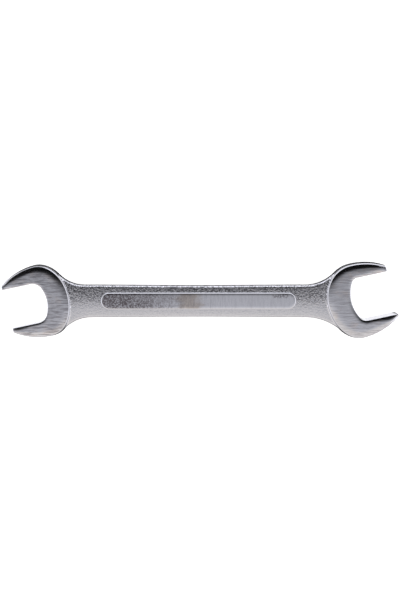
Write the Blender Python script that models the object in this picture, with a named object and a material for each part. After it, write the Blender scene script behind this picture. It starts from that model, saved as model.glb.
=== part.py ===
"""Double open end wrench: one drop forging with a 24 mm and a 27 mm jaw, satin plated all over.

The wrench lies flat, X along it with the larger jaw at +X, Z up, and its box centred over the origin.
Both heads are turned out of line by the head angle, so that the wrench reads as a long S, and each slot is
turned back in its head by the slot lean. On each head the jaw on the outer side of that turn is blunt and
the other one is sharp. The heads are plates with rolled faces, rounded edges and outer walls that lean in
from the parting line as a forging's do. Between them runs a thinner crowned web, with a raised grip panel on
both faces.

A head is drawn in its own plane: u runs out through the mouth of the slot from the head's centre, and v
runs across it, positive on the blunt jaw's side.
"""

import math

import bmesh
import bpy
from mathutils import Matrix, Vector

MM = 0.001

# Whole wrench
HEAD_SPACING = 198.2 * MM
HEAD_ANGLE = math.radians(15)
SLOT_LEAN = math.radians(2.8)

# Both heads
HEAD_THICKNESS = 9.5 * MM
EDGE_ROUND = 0.85 * MM
SLOT_EDGE_ROUND = 0.35 * MM
WALL_DRAFT = 0.6 * MM
FACE_ROLL_DROP = 0.5 * MM
FACE_ROLL_WIDTH = 4.8 * MM
INNER_TIP_RADIUS = 0.75 * MM
JAW_CLEARANCE = 0.25 * MM

# Small head, at -X
SMALL_JAW = 24.0 * MM
SMALL_HEAD_OFFSET = -0.75 * MM
SMALL_THROAT_DEPTH = 6.1 * MM
SMALL_THROAT_BULGE = 4.2 * MM
SMALL_THROAT_SHIFT = -0.7 * MM
SMALL_BACK_DEPTH = 19.7 * MM
SMALL_BACK_SHIFT = -0.8 * MM
SMALL_BLUNT_ARM = 9.8 * MM
SMALL_BLUNT_REACH = 19.7 * MM
SMALL_BLUNT_WIDEST = -3.8 * MM
SMALL_BLUNT_TIP_WIDTH = 1.8 * MM
SMALL_BLUNT_TIP_RADIUS = 1.6 * MM
SMALL_BLUNT_THROAT_FILLET = 6.7 * MM
SMALL_SHARP_ARM = 10.1 * MM
SMALL_SHARP_REACH = 18.6 * MM
SMALL_SHARP_WIDEST = -3.8 * MM
SMALL_SHARP_TIP_WIDTH = 3.4 * MM
SMALL_SHARP_TIP_RADIUS = 1.1 * MM
SMALL_SHARP_THROAT_FILLET = 6.5 * MM

# Large head, at +X
LARGE_JAW = 27.0 * MM
LARGE_HEAD_OFFSET = 1.2 * MM
LARGE_THROAT_DEPTH = 4.8 * MM
LARGE_THROAT_BULGE = 4.5 * MM
LARGE_THROAT_SHIFT = 1.0 * MM
LARGE_BACK_DEPTH = 19.3 * MM
LARGE_BACK_SHIFT = 1.0 * MM
LARGE_BLUNT_ARM = 8.6 * MM
LARGE_BLUNT_REACH = 20.6 * MM
LARGE_BLUNT_WIDEST = -1.0 * MM
LARGE_BLUNT_TIP_WIDTH = 2.3 * MM
LARGE_BLUNT_TIP_RADIUS = 1.1 * MM
LARGE_BLUNT_THROAT_FILLET = 3.4 * MM
LARGE_SHARP_ARM = 10.4 * MM
LARGE_SHARP_REACH = 21.6 * MM
LARGE_SHARP_WIDEST = -1.9 * MM
LARGE_SHARP_TIP_WIDTH = 2.5 * MM
LARGE_SHARP_TIP_RADIUS = 1.1 * MM
LARGE_SHARP_THROAT_FILLET = 5.1 * MM

# Web and necks
SHANK_WIDTH = 20.1 * MM
WAIST_WIDTH = 19.4 * MM
WEB_THICKNESS = 6.1 * MM
WEB_CROWN = 0.6 * MM
WEB_EDGE_ROUND = 1.4 * MM
SMALL_BLUNT_NECK_RADIUS = 24.8 * MM
SMALL_SHARP_NECK_RADIUS = 21.6 * MM
LARGE_BLUNT_NECK_RADIUS = 24.8 * MM
LARGE_SHARP_NECK_RADIUS = 34.7 * MM
NECK_BITE = 0.15 * MM

# Grip panel
PANEL_LENGTH = 121.8 * MM
PANEL_WIDTH = 10.9 * MM
PANEL_STAND = 0.5 * MM
PANEL_EDGE_ROUND = 0.95 * MM
PANEL_SHIFT = 0.6 * MM
PANEL_OFFSET = 0.2 * MM

# Shares of the sizes that they follow
TIP_LIMIT_SHARE = 0.95
INNER_TIP_LIMIT_SHARE = 0.95
ROUND_LIMIT_SHARE = 0.9
THROAT_FILLET_LIMIT_SHARE = 0.85
FACE_COLUMN_SHARES = (0.0, 0.08, 0.18, 0.3, 0.44, 0.6, 0.8, 1.0)
RUN_IN_SHARE = 0.12

# Facets
ARC_STEPS = 8
BACK_STEPS = 12
TIP_STEPS = 3
THROAT_FILLET_STEPS = 6
THROAT_STEPS = 12
ROUND_STEPS = 3
NECK_STEPS = 9
WAIST_STEPS = 8
CROWN_STEPS = 6
PANEL_END_STEPS = 12
BISECTIONS = 40
CREASE_ANGLE = math.radians(35)

SMALL_HEAD = {
    "jaw": SMALL_JAW + JAW_CLEARANCE,
    "throat": (SMALL_THROAT_DEPTH, SMALL_THROAT_BULGE, SMALL_THROAT_SHIFT),
    "back": (SMALL_BACK_DEPTH, SMALL_BACK_SHIFT),
    "blunt": {
        "arm": SMALL_BLUNT_ARM,
        "reach": SMALL_BLUNT_REACH,
        "widest": SMALL_BLUNT_WIDEST,
        "tip": SMALL_BLUNT_TIP_WIDTH,
        "tip_radius": SMALL_BLUNT_TIP_RADIUS,
        "throat_fillet": SMALL_BLUNT_THROAT_FILLET,
        "neck": SMALL_BLUNT_NECK_RADIUS,
        "lean": -SLOT_LEAN,
    },
    "sharp": {
        "arm": SMALL_SHARP_ARM,
        "reach": SMALL_SHARP_REACH,
        "widest": SMALL_SHARP_WIDEST,
        "tip": SMALL_SHARP_TIP_WIDTH,
        "tip_radius": SMALL_SHARP_TIP_RADIUS,
        "throat_fillet": SMALL_SHARP_THROAT_FILLET,
        "neck": SMALL_SHARP_NECK_RADIUS,
        "lean": SLOT_LEAN,
    },
    "centre": Vector((-HEAD_SPACING / 2, SMALL_HEAD_OFFSET)),
    "turn": math.pi + HEAD_ANGLE,
}
LARGE_HEAD = {
    "jaw": LARGE_JAW + JAW_CLEARANCE,
    "throat": (LARGE_THROAT_DEPTH, LARGE_THROAT_BULGE, LARGE_THROAT_SHIFT),
    "back": (LARGE_BACK_DEPTH, LARGE_BACK_SHIFT),
    "blunt": {
        "arm": LARGE_BLUNT_ARM,
        "reach": LARGE_BLUNT_REACH,
        "widest": LARGE_BLUNT_WIDEST,
        "tip": LARGE_BLUNT_TIP_WIDTH,
        "tip_radius": LARGE_BLUNT_TIP_RADIUS,
        "throat_fillet": LARGE_BLUNT_THROAT_FILLET,
        "neck": LARGE_BLUNT_NECK_RADIUS,
        "lean": -SLOT_LEAN,
    },
    "sharp": {
        "arm": LARGE_SHARP_ARM,
        "reach": LARGE_SHARP_REACH,
        "widest": LARGE_SHARP_WIDEST,
        "tip": LARGE_SHARP_TIP_WIDTH,
        "tip_radius": LARGE_SHARP_TIP_RADIUS,
        "throat_fillet": LARGE_SHARP_THROAT_FILLET,
        "neck": LARGE_SHARP_NECK_RADIUS,
        "lean": SLOT_LEAN,
    },
    "centre": Vector((HEAD_SPACING / 2, LARGE_HEAD_OFFSET)),
    "turn": HEAD_ANGLE,
}


def arc(centre, radius, start, end, steps):
    """Points on a circle about centre, both ends included."""
    points = []
    for step in range(steps + 1):
        angle = start + (end - start) * step / steps
        u = centre[0] + radius * math.cos(angle)
        v = centre[1] + radius * math.sin(angle)
        points.append(Vector((u, v)))
    return points


def back_quarter(centre, along, across):
    """Half of a head's back, a quarter of an ellipse from its widest point to its middle."""
    points = []
    for step in range(BACK_STEPS + 1):
        angle = math.pi / 2 * step / BACK_STEPS
        u = centre[0] - along * math.sin(angle)
        v = centre[1] + across * math.cos(angle)
        points.append(Vector((u, v)))
    return points


def throat_shape(head, side):
    """Radius and centre of the slot's floor, and radius and centre of the fillet on one side of it."""
    depth, bulge, shift = head["throat"]
    shift = shift if side == "blunt" else -shift
    half = head["jaw"] / 2
    floor = (half ** 2 + bulge ** 2) / (2 * bulge)
    fillet = min(head[side]["throat_fillet"], THROAT_FILLET_LIMIT_SHARE * half)
    floor_centre = Vector((floor - depth, shift))
    fillet_v = half - fillet
    fillet_u = floor_centre.x - math.sqrt((floor - fillet) ** 2 - (fillet_v - shift) ** 2)
    turned = Matrix.Rotation(head[side]["lean"], 2)
    return floor, turned @ floor_centre, fillet, turned @ Vector((fillet_u, fillet_v))


def slot_face(head, side):
    """Where a jaw's flat face starts at the throat fillet, and the face's normal into the jaw."""
    lean = head[side]["lean"]
    _, _, fillet, fillet_centre = throat_shape(head, side)
    normal = Vector((-math.sin(lean), math.cos(lean)))
    return fillet_centre + normal * fillet, normal


def tip_shape(head, side):
    """Centres and radii of the arcs that draw one jaw, for a jaw on the side v > 0."""
    jaw = head[side]
    half = head["jaw"] / 2
    tip = min(jaw["tip"], jaw["arm"] / 2)
    run = jaw["reach"] - jaw["widest"]
    fall = jaw["arm"] - tip
    sweep = (run ** 2 + fall ** 2) / (2 * fall)
    sweep_centre = Vector((jaw["widest"], half + jaw["arm"] - sweep))
    outer = min(jaw["tip_radius"], TIP_LIMIT_SHARE * tip)
    outer_u = jaw["reach"] - outer
    outer_v = sweep_centre.y + math.sqrt((sweep - outer) ** 2 - (outer_u - jaw["widest"]) ** 2)
    face, normal = slot_face(head, side)
    face_v = face.y - (jaw["reach"] - face.x) * normal.x / normal.y
    inner = min(INNER_TIP_RADIUS, INNER_TIP_LIMIT_SHARE * (outer_v - face_v))
    inner_u = jaw["reach"] - inner
    inner_v = face.y + (inner - (inner_u - face.x) * normal.x) / normal.y
    return {
        "sweep": sweep,
        "sweep_centre": sweep_centre,
        "outer": outer,
        "outer_centre": Vector((outer_u, outer_v)),
        "inner": inner,
        "inner_centre": Vector((inner_u, inner_v)),
        "sweep_end": math.atan2(outer_v - sweep_centre.y, outer_u - jaw["widest"]),
    }


def edge_rounds(head):
    """Roundings of a head's outer edge and of its slot's edge, held under the radii of its tips."""
    tips = [tip_shape(head, side) for side in ("blunt", "sharp")]
    outer = min(tip["outer"] for tip in tips)
    inner = min(tip["inner"] for tip in tips)
    slot_round = min(SLOT_EDGE_ROUND, ROUND_LIMIT_SHARE * inner)
    return min(EDGE_ROUND, ROUND_LIMIT_SHARE * min(outer, 2 * inner - slot_round)), slot_round


def outer_side(head, side, inset):
    """Outer edge of one jaw and its half of the back, from the tip's outer corner to the back's middle."""
    jaw = head[side]
    depth, shift = head["back"]
    shift = shift if side == "blunt" else -shift
    tip = tip_shape(head, side)
    jaw_edge = arc(tip["sweep_centre"], tip["sweep"] - inset, tip["sweep_end"], math.pi / 2, ARC_STEPS)
    across = head["jaw"] / 2 + jaw["arm"] - shift - inset
    along = depth + jaw["widest"] - inset
    back = back_quarter((jaw["widest"], shift), along, across)
    return jaw_edge + back[1:]


def tip_side(head, side, inset):
    """End of one jaw, from its outer corner round to the slot."""
    tip = tip_shape(head, side)
    outer = arc(tip["outer_centre"], tip["outer"] - inset, tip["sweep_end"], 0, TIP_STEPS)
    face_angle = head[side]["lean"] - math.pi / 2
    inner = arc(tip["inner_centre"], tip["inner"] - inset, 0, face_angle, TIP_STEPS)
    return outer + inner


def slot_side(head, side, inset):
    """Slot's edge on one jaw, from the tip's inner corner along the flat to the middle of the throat."""
    tip = tip_shape(head, side)
    floor, floor_centre, fillet, fillet_centre = throat_shape(head, side)
    face, normal = slot_face(head, side)
    turn = fillet_centre - floor_centre
    fillet_end = math.atan2(turn.y, turn.x)
    start = tip["inner_centre"] - normal * (tip["inner"] - inset)
    end = face + normal * inset
    flat = [start.lerp(end, step / ARC_STEPS) for step in range(ARC_STEPS)]
    lean = head[side]["lean"]
    corner = arc(fillet_centre, fillet + inset, math.pi / 2 + lean, fillet_end, THROAT_FILLET_STEPS)
    bottom = arc(floor_centre, floor + inset, fillet_end, math.pi + lean, THROAT_STEPS // 2)
    return flat + corner + bottom[1:]


def mirrored(points):
    return [Vector((point.x, -point.y)) for point in points]


def head_sides(head, inset):
    """Four sides of a head's outline, moved inward by inset.

    They are the outer edge from the blunt tip round the back to the sharp tip, the sharp tip's end, the
    slot back to the blunt tip, and the blunt tip's end. Each starts where the one before it ends.
    """
    outer = outer_side(head, "blunt", inset) + mirrored(outer_side(head, "sharp", inset))[-2::-1]
    sharp_tip = mirrored(tip_side(head, "sharp", inset))
    slot = mirrored(slot_side(head, "sharp", inset)) + slot_side(head, "blunt", inset)[-2::-1]
    blunt_tip = tip_side(head, "blunt", inset)[::-1]
    return outer, sharp_tip, slot, blunt_tip


def tip_blend(index, last):
    """Smooth share that goes from 0 at a tip's outer corner to 1 at its slot."""
    share = index / last
    return share ** 2 * (3 - 2 * share)


def blended_sides(head, outer_inset, slot_inset):
    """Sides of the outline with one inset on the outer edge and another in the slot.

    The inset changes from the one to the other across the ends of the two tips.
    """
    outer, sharp_tip, _, blunt_tip = head_sides(head, outer_inset)
    _, sharp_end, slot, blunt_end = head_sides(head, slot_inset)
    last = len(sharp_tip) - 1
    for index in range(last + 1):
        sharp_tip[index] = sharp_tip[index].lerp(sharp_end[index], tip_blend(index, last))
        blunt_tip[index] = blunt_tip[index].lerp(blunt_end[index], tip_blend(last - index, last))
    return outer, sharp_tip, slot, blunt_tip


def head_ring(head, outer_inset, slot_inset):
    """Outline as one closed ring, which starts at the blunt tip's outer corner."""
    outer, sharp_tip, slot, blunt_tip = blended_sides(head, outer_inset, slot_inset)
    return outer[:-1] + sharp_tip[:-1] + slot[:-1] + blunt_tip[:-1]


def parting_ring(head):
    """Outline in the middle of the head's thickness, where its outer walls stand out by the draft."""
    return head_ring(head, -WALL_DRAFT, 0)


def placed(head, point):
    """Point of a head's plane in the plane of the wrench."""
    along = Vector((math.cos(head["turn"]), math.sin(head["turn"])))
    across = Vector((-along.y, along.x))
    return head["centre"] + along * point.x + across * point.y


def build_mesh(name, points, faces):
    """Object from points and faces, with its faces pointing out and all but its creases smooth."""
    shape = bmesh.new()
    corners = [shape.verts.new(point) for point in points]
    for face in faces:
        shape.faces.new([corners[index] for index in face])
    bmesh.ops.recalc_face_normals(shape, faces=shape.faces)
    mesh = bpy.data.meshes.new(name)
    shape.to_mesh(mesh)
    shape.free()
    mesh.shade_smooth()
    mesh.set_sharp_from_angle(angle=CREASE_ANGLE)
    item = bpy.data.objects.new(name, mesh)
    bpy.context.scene.collection.objects.link(item)
    return item


def bridge(faces, ring, other):
    """Add the quads between two closed rings of as many point numbers."""
    for index in range(len(ring)):
        after = (index + 1) % len(ring)
        faces.append((ring[index], ring[after], other[after], other[index]))


def add_ring(points, ring):
    """Add a ring's points and return their numbers."""
    first = len(points)
    points.extend(ring)
    return list(range(first, len(points)))


def round_steps(radius, start=0):
    """Inset and drop under the face at each step of a rounded edge, from the wall up to the face.

    The rounding starts at an angle of its own where the wall under it leans.
    """
    steps = []
    for step in range(ROUND_STEPS + 1):
        angle = start + (math.pi / 2 - start) * step / ROUND_STEPS
        steps.append((radius * (1 - math.cos(angle)), radius * (1 - math.sin(angle))))
    return steps


def face_grid(head, outer_inset, slot_inset):
    """Points and heights of a head's face, in rows from the blunt tip round to the sharp tip.

    A row runs from the outer edge to the slot. The rows of the tips bulge with their round ends, and the
    rows between them take a share of that bulge. The face rolls down towards the outer edge.
    """
    outer, sharp_tip, slot, blunt_tip = blended_sides(head, outer_inset, slot_inset)
    slot = slot[::-1]
    blunt_tip = blunt_tip[::-1]
    rows = []
    heights = []
    for number, (edge, floor) in enumerate(zip(outer, slot)):
        share = number / (len(outer) - 1)
        row = []
        for column, column_share in enumerate(FACE_COLUMN_SHARES):
            point = edge.lerp(floor, column_share)
            blunt_bulge = blunt_tip[column] - outer[0].lerp(slot[0], column_share)
            sharp_bulge = sharp_tip[column] - outer[-1].lerp(slot[-1], column_share)
            row.append(point + blunt_bulge * (1 - share) + sharp_bulge * share)
        rows.append(row)
        depths = [max(0, 1 - (point - row[0]).length / FACE_ROLL_WIDTH) for point in row]
        heights.append([HEAD_THICKNESS / 2 - FACE_ROLL_DROP * depth ** 2 for depth in depths])
    return rows, heights


def border(rows, columns):
    """Row and column of each point round a grid's edge, in the order of head_ring."""
    down = [(row, 0) for row in range(rows)]
    across = [(rows, column) for column in range(columns)]
    up = [(row, columns) for row in range(rows, 0, -1)]
    back = [(0, column) for column in range(columns, 0, -1)]
    return down + across + up + back


def head_plate(name, head):
    """Head as a plate: two rolled faces, their rounded edges and the drafted wall between them."""
    radius, slot_radius = edge_rounds(head)
    wall_height = HEAD_THICKNESS / 2 - FACE_ROLL_DROP - radius
    rows, heights = face_grid(head, radius, slot_radius)
    last_row, last_column = len(rows) - 1, len(rows[0]) - 1
    edge = border(last_row, last_column)
    blends = [tip_blend(column, last_column) for _, column in edge]
    steps = list(zip(round_steps(radius, math.atan(WALL_DRAFT / wall_height)), round_steps(slot_radius)))
    points = []
    faces = []
    walls = []
    for side in (-1, 1):
        numbers = []
        for row, row_heights in zip(rows, heights):
            flat = [placed(head, point) for point in row]
            ring = [(spot.x, spot.y, side * height) for spot, height in zip(flat, row_heights)]
            numbers.append(add_ring(points, ring))
        for row in range(last_row):
            for column in range(last_column):
                upper, lower = numbers[row], numbers[row + 1]
                faces.append((upper[column], upper[column + 1], lower[column + 1], lower[column]))
        inner = [numbers[row][column] for row, column in edge]
        for (inset, drop), (slot_inset, slot_drop) in steps[-2::-1]:
            ring = []
            for point, (row, column), blend in zip(head_ring(head, inset, slot_inset), edge, blends):
                spot = placed(head, point)
                height = heights[row][column] - drop - (slot_drop - drop) * blend
                ring.append((spot.x, spot.y, side * height))
            outer = add_ring(points, ring)
            bridge(faces, inner, outer)
            inner = outer
        walls.append(inner)
    parting = [placed(head, point) for point in parting_ring(head)]
    middle = add_ring(points, [(spot.x, spot.y, 0) for spot in parting])
    bridge(faces, walls[0], middle)
    bridge(faces, middle, walls[1])
    return build_mesh(name, points, faces)


def nearest(points, spot):
    """Point nearest to spot on the line through points."""
    best = points[0]
    for start, end in zip(points, points[1:]):
        step = end - start
        share = max(0, min(1, (spot - start).dot(step) / step.dot(step)))
        point = start + step * share
        if (point - spot).length < (best - spot).length:
            best = point
    return best


def neck(head, side, up):
    """Neck on one side, from inside the head, along the fillet, to where the shank's edge begins.

    The fillet's circle touches the shank's edge and bites a little into the head's outline. up is 1 for
    the edge at +Y and -1 for the other.
    """
    radius = head[side]["neck"]
    outline = outer_side(head, side, -WALL_DRAFT)
    if side == "sharp":
        outline = mirrored(outline)
    outline = [placed(head, point) for point in outline]
    near, far = head["centre"].x, 0
    for _ in range(BISECTIONS):
        middle = Vector(((near + far) / 2, up * (SHANK_WIDTH / 2 + radius)))
        if (nearest(outline, middle) - middle).length < radius - NECK_BITE:
            near = middle.x
        else:
            far = middle.x
    touch = nearest(outline, middle) - middle
    start = math.atan2(touch.y, touch.x)
    end = -up * math.pi / 2
    if abs(end - start) > math.pi:
        start -= math.copysign(2 * math.pi, start)
    fillet = arc(middle, radius, start, end, NECK_STEPS)
    return [fillet[0].lerp(head["centre"], RUN_IN_SHARE)] + fillet


def web_edge(up):
    """One edge of the web in plan, from inside the small head to inside the large one."""
    small = neck(SMALL_HEAD, "blunt" if up < 0 else "sharp", up)
    large = neck(LARGE_HEAD, "sharp" if up < 0 else "blunt", up)
    start, end = small[-1], large[-1]
    waist = []
    for step in range(1, WAIST_STEPS):
        share = step / WAIST_STEPS
        narrowing = (SHANK_WIDTH - WAIST_WIDTH) / 2 * math.sin(math.pi * share) ** 2
        waist.append(start.lerp(end, share) - Vector((0, up * narrowing)))
    return small + waist + large[::-1]


def web_section(upper, lower):
    """Closed section of the web between two points of its edges, crowned, with rounded corners."""
    width = (lower - upper).length
    edge_height = WEB_THICKNESS / 2 - WEB_CROWN
    radius = min(WEB_EDGE_ROUND, ROUND_LIMIT_SHARE * edge_height)
    flat_share = 1 - 2 * radius / width
    corner_height = WEB_THICKNESS / 2 - WEB_CROWN * flat_share ** 2
    top = [(inset, corner_height - drop) for inset, drop in round_steps(radius)]
    for step in range(1, CROWN_STEPS):
        share = 2 * step / CROWN_STEPS - 1
        reach = radius + (width - 2 * radius) * step / CROWN_STEPS
        top.append((reach, WEB_THICKNESS / 2 - WEB_CROWN * (flat_share * share) ** 2))
    top += [(width - inset, corner_height - drop) for inset, drop in round_steps(radius)[::-1]]
    ring = []
    for side, line in ((1, top), (-1, top[::-1])):
        for reach, height in line:
            spot = upper.lerp(lower, reach / width)
            ring.append((spot.x, spot.y, side * height))
    return ring


def web(name):
    """Web and necks, lofted through sections that run from one edge to the other."""
    points = []
    faces = []
    rings = []
    for upper, lower in zip(web_edge(1), web_edge(-1)):
        rings.append(add_ring(points, web_section(upper, lower)))
    for ring, other in zip(rings, rings[1:]):
        bridge(faces, ring, other)
    faces.append(rings[0])
    faces.append(rings[-1])
    return build_mesh(name, points, faces)


def panel_ring(inset, height):
    """Outline of the grip panel, a slot with round ends, moved inward by inset."""
    radius = PANEL_WIDTH / 2
    end = PANEL_LENGTH / 2 - radius
    right_end = (PANEL_SHIFT + end, PANEL_OFFSET)
    left_end = (PANEL_SHIFT - end, PANEL_OFFSET)
    right = arc(right_end, radius - inset, -math.pi / 2, math.pi / 2, PANEL_END_STEPS)
    left = arc(left_end, radius - inset, math.pi / 2, 3 * math.pi / 2, PANEL_END_STEPS)
    return [(point.x, point.y, height) for point in right + left]


def grip_panel(name):
    """Raised panels of both faces, as one plate through the web."""
    level = WEB_THICKNESS / 2 + PANEL_STAND
    radius = min(PANEL_EDGE_ROUND, ROUND_LIMIT_SHARE * min(level, PANEL_WIDTH / 2))
    steps = round_steps(radius)
    points = []
    faces = []
    rings = []
    for inset, drop in steps[::-1]:
        rings.append(add_ring(points, panel_ring(inset, drop - level)))
    for inset, drop in steps:
        rings.append(add_ring(points, panel_ring(inset, level - drop)))
    for ring, other in zip(rings, rings[1:]):
        bridge(faces, ring, other)
    faces.append(rings[0])
    faces.append(rings[-1])
    return build_mesh(name, points, faces)


def satin_plate():
    """Satin nickel and chrome plate over steel."""
    material = bpy.data.materials.new("satin_plate")
    material.use_nodes = True
    shader = material.node_tree.nodes["Principled BSDF"]
    shader.inputs["Base Color"].default_value = (0.60, 0.60, 0.61, 1)
    shader.inputs["Metallic"].default_value = 1
    shader.inputs["Roughness"].default_value = 0.32
    return material


def join(body, piece):
    """Unite a piece with the forging, and keep it only as a guide."""
    union = body.modifiers.new(piece.name, "BOOLEAN")
    union.operation = "UNION"
    union.solver = "EXACT"
    union.object = piece
    piece.hide_render = True
    piece.display_type = "WIRE"


def frame_shift():
    """Move that puts the middle of the wrench's box over the origin, with its underside at z = 0."""
    spots = [placed(head, point) for head in (SMALL_HEAD, LARGE_HEAD) for point in parting_ring(head)]
    middle_x = (min(spot.x for spot in spots) + max(spot.x for spot in spots)) / 2
    middle_y = (min(spot.y for spot in spots) + max(spot.y for spot in spots)) / 2
    return Vector((-middle_x, -middle_y, HEAD_THICKNESS / 2))


def build():
    for item in list(bpy.data.objects):
        bpy.data.objects.remove(item)
    forging = web("wrench_forging")
    pieces = [
        head_plate("small_head_blank", SMALL_HEAD),
        head_plate("large_head_blank", LARGE_HEAD),
        grip_panel("grip_panel_blank"),
    ]
    material = satin_plate()
    place = bpy.data.objects.new("wrench_place", None)
    bpy.context.scene.collection.objects.link(place)
    place.location = frame_shift()
    for item in [forging] + pieces:
        item.data.materials.append(material)
        item.parent = place
    for piece in pieces:
        join(forging, piece)


build()
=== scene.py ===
# %% [markdown]
# # A double open end wrench in satin chrome
#
# The object is one drop forging: two C-shaped heads, a thinner crowned web between them and a raised grip
# panel on both faces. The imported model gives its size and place, and everything below is built around it in
# the same frame: X along the wrench, Y across it, Z up out of its face, all in metres.

import math

import bmesh
import bpy
import numpy as np
from mathutils import Matrix, Vector


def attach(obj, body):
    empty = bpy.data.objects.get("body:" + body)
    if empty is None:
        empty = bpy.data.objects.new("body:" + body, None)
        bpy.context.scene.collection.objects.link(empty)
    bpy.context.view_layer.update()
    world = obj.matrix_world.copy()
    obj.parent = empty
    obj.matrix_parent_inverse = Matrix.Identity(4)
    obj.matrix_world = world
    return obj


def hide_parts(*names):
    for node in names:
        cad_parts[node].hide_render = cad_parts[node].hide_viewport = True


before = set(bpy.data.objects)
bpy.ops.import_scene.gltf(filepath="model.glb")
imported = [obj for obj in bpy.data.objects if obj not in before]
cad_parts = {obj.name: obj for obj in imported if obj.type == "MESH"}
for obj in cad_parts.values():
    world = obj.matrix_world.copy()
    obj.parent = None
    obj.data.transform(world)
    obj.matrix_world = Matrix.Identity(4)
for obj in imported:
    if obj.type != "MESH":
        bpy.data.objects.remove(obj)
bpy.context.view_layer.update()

MM = 0.001

# %% [markdown]
# ## Camera
#
# The photograph looks down on the wrench from about 420 mm, a little from the side that is uppermost in the
# picture, so that thin strips of the walls on that side show. A camera could be placed by hand, but this one
# is set by an aim point, a distance and a tilt, as a photographer would, and its focal length follows from
# the scale of the picture.

# %% Camera
IMAGE_WIDTH_PX = 401
MM_PER_PX = 0.6217
CAMERA_DISTANCE = 420.8 * MM
CAMERA_TILT = math.radians(8)
SENSOR_MM = 36
AIM = Vector((-0.124 * MM, -0.211 * MM, 4.75 * MM))


def aim_camera():
    """Camera that looks at the aim point, tilted from straight above towards +Y."""
    data = bpy.data.cameras.new("camera")
    data.sensor_fit = "HORIZONTAL"
    data.sensor_width = SENSOR_MM
    data.lens = SENSOR_MM * CAMERA_DISTANCE / (IMAGE_WIDTH_PX * MM_PER_PX * MM)
    camera = bpy.data.objects.new("camera", data)
    bpy.context.scene.collection.objects.link(camera)
    away = Vector((0, math.sin(CAMERA_TILT), math.cos(CAMERA_TILT)))
    camera.location = AIM + away * CAMERA_DISTANCE
    camera.rotation_euler = (-CAMERA_TILT, 0, 0)
    bpy.context.scene.camera = camera
    return camera


camera = aim_camera()
print("focal length:", round(camera.data.lens, 1), "mm")

# %% [markdown]
# ## Driving sizes of the heads
#
# The heads are plates that are turned 15 degrees out of line, and each slot leans back a little in its head.
# A head is drawn in its own plane: u runs out along the head, and v runs across it, positive on the side of
# the blunt jaw. All points of the outline are worked out from the few sizes below, so the mesh can be as fine
# as the highlights need.
#
# A throat is given by its depth, the bulge of its floor and a shift towards the blunt jaw, and a back by its
# depth and a like shift. A face rolls down by a drop, over a width, along a curve of some power.

# %% Sizes of the heads
HEAD_SPACING = 198.2 * MM
HEAD_ANGLE = math.radians(15)
SLOT_LEAN = math.radians(2.8)
HEAD_THICKNESS = 9.5 * MM
WALL_DRAFT = 0.6 * MM
JAW_CLEARANCE = 0.25 * MM

SMALL_HEAD = {
    "jaw": 24.0 * MM + JAW_CLEARANCE,
    "throat": (6.1 * MM, 4.2 * MM, -0.7 * MM),
    "back": (19.7 * MM, -0.8 * MM),
    "back_roll": (0.42 * MM, 3.7 * MM, 1.7),
    "blunt": {"arm": 9.8 * MM, "reach": 19.7 * MM, "widest": -3.8 * MM, "tip": 1.8 * MM,
              "tip_radius": 1.6 * MM, "throat_fillet": 6.7 * MM, "neck": 24.8 * MM,
              "lean": -SLOT_LEAN, "slot_roll": (0.18 * MM, 1.7 * MM)},
    "sharp": {"arm": 10.1 * MM, "reach": 18.6 * MM, "widest": -3.8 * MM, "tip": 3.4 * MM,
              "tip_radius": 1.1 * MM, "throat_fillet": 6.5 * MM, "neck": 21.6 * MM,
              "lean": SLOT_LEAN, "slot_roll": (0.06 * MM, 0.85 * MM)},
    "centre": Vector((-HEAD_SPACING / 2, -0.75 * MM)),
    "turn": math.pi + HEAD_ANGLE,
}
LARGE_HEAD = {
    "jaw": 27.0 * MM + JAW_CLEARANCE,
    "throat": (4.8 * MM, 4.5 * MM, 1.0 * MM),
    "back": (19.3 * MM, 1.0 * MM),
    "back_roll": (0.47 * MM, 5.5 * MM, 3),
    "blunt": {"arm": 8.6 * MM, "reach": 20.6 * MM, "widest": -1.0 * MM, "tip": 2.3 * MM,
              "tip_radius": 1.1 * MM, "throat_fillet": 3.4 * MM, "neck": 24.8 * MM,
              "lean": -SLOT_LEAN, "slot_roll": (0.14 * MM, 1.6 * MM)},
    "sharp": {"arm": 10.4 * MM, "reach": 21.6 * MM, "widest": -1.9 * MM, "tip": 2.5 * MM,
              "tip_radius": 1.1 * MM, "throat_fillet": 5.1 * MM, "neck": 34.7 * MM,
              "lean": SLOT_LEAN, "slot_roll": (0.30 * MM, 2.6 * MM)},
    "centre": Vector((HEAD_SPACING / 2, 1.2 * MM)),
    "turn": HEAD_ANGLE,
}
HEADS = (SMALL_HEAD, LARGE_HEAD)
print("slots:", [head["jaw"] / MM for head in HEADS], "mm")

# %% [markdown]
# ## Outline of a head
#
# The outline of a jaw is a wide arc that sweeps to a rounded tip, the back is two quarters of an ellipse, and
# the slot is two flats joined by a hollow throat. It could be a curve with handles, but moving true arcs
# inward by an inset only changes their radii, which keeps the rings of the mesh parallel and the highlights
# even.

# %% Curves
BACK_STEPS = 44


def arc(centre, radius, start, end, steps):
    """Points on a circle about centre, both ends included."""
    points = []
    for step in range(steps + 1):
        angle = start + (end - start) * step / steps
        u = centre[0] + radius * math.cos(angle)
        v = centre[1] + radius * math.sin(angle)
        points.append(Vector((u, v)))
    return points


def back_quarter(centre, along, across):
    """Half of a head's back, a quarter of an ellipse from its widest point to its middle."""
    points = []
    for step in range(BACK_STEPS + 1):
        angle = math.pi / 2 * step / BACK_STEPS
        u = centre[0] - along * math.sin(angle)
        v = centre[1] + across * math.cos(angle)
        points.append(Vector((u, v)))
    return points


print("points on a back:", 2 * BACK_STEPS)

# %% Throat and tips
INNER_TIP_RADIUS = 0.75 * MM
TIP_LIMIT_SHARE = 0.95


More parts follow.
